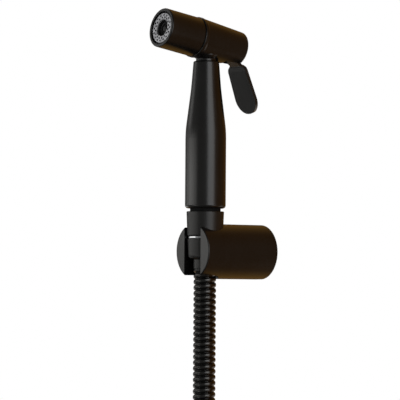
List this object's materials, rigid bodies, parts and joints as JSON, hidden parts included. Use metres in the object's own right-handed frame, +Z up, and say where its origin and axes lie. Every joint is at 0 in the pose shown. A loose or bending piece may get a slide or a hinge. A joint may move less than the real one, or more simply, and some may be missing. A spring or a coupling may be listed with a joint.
{
  "type": "handheld bidet shower",
  "caption": "Handheld bidet spray with a thumb lever, hung by its hose nut in a round wall holder, with a flexible metal hose coiled and tied beneath it.",
  "frame": {"origin": "centre of the holder's round wall face, on the wall plane", "axes": "+Y into the wall, +Z up along the hanging sprayer, +X to the right as seen facing the wall"},
  "size_m": [0.165, 0.0829, 0.4607],
  "materials": {
    "black_metal": "dark satin plating",
    "hose_metal": "dark plated steel spiral over a rubber lining",
    "chrome": "polished",
    "steel": "plain stainless",
    "spray_steel": "bead blasted",
    "brass": "machined",
    "rubber": "matt",
    "white_plastic": "moulded",
    "dark_plastic": "moulded",
    "strap": "moulded strap"
  },
  "bodies": {
    "holder_and_hose": {"holder_body": "black_metal", "wall_plate": "steel", "grub_screw": "steel", "swivel_ring": "chrome", "swivel_cup": "black_metal", "swivel_o_ring": "rubber", "hose_insert": "brass", "top_ferrule": "black_metal", "hose_drop": "hose_metal", "hose_coil": "hose_metal", "hose_tail": "hose_metal", "coil_tie": "strap", "end_ferrule": "black_metal", "end_stem": "brass", "end_washer": "rubber"},
    "sprayer": {"hose_nut": "black_metal", "swivel_stem": "black_metal", "hose_washer": "rubber", "inlet_nipple": "black_metal", "nipple_o_ring": "rubber", "filter_disc": "white_plastic", "check_valve": "white_plastic", "handle_tube": "black_metal", "valve_body": "black_metal", "pivot_pin": "steel", "stem_bush": "brass", "stem_o_ring": "rubber", "valve_spring": "steel", "valve_seat": "brass", "nose_gasket": "rubber", "front_sleeve": "black_metal", "nozzle_carrier": "dark_plastic", "spray_plate": "spray_steel", "centre_jet": "dark_plastic"},
    "lever": {"trigger_lever": "black_metal"},
    "valve": {"valve_stem": "steel", "stem_nut": "steel", "poppet_seal": "rubber"},
    "union_nut": {"hex_nut": "black_metal"}
  },
  "joints": [
    {"name": "sprayer_turn", "type": "hinge", "parent": "holder_and_hose", "child": "sprayer", "pos_m": [0, -0.0452, 0], "axis": [0, 0, 1], "continuous": true},
    {"name": "lever_pull", "type": "hinge", "parent": "sprayer", "child": "lever", "pos_m": [0, -0.02852, 0.12537], "axis": [-1, 0, 0], "range_deg": [0, 15], "stiffness_Nm_per_rad": 0.3, "springref_deg": -11.46},
    {"name": "valve_lift", "type": "slide", "parent": "sprayer", "child": "valve", "axis": [0, 0.9848, -0.1736], "range_m": [0, 0.00157], "deforming": ["valve_spring"]},
    {"name": "union_nut_turn", "type": "hinge", "parent": "holder_and_hose", "child": "union_nut", "pos_m": [-0.073, -0.0152, -0.3], "axis": [0, 0, 1], "continuous": true}
  ],
  "couplings": [
    {"joint": "lever_pull", "follows": "valve_lift", "rad_per_m": 166.67}
  ]
}
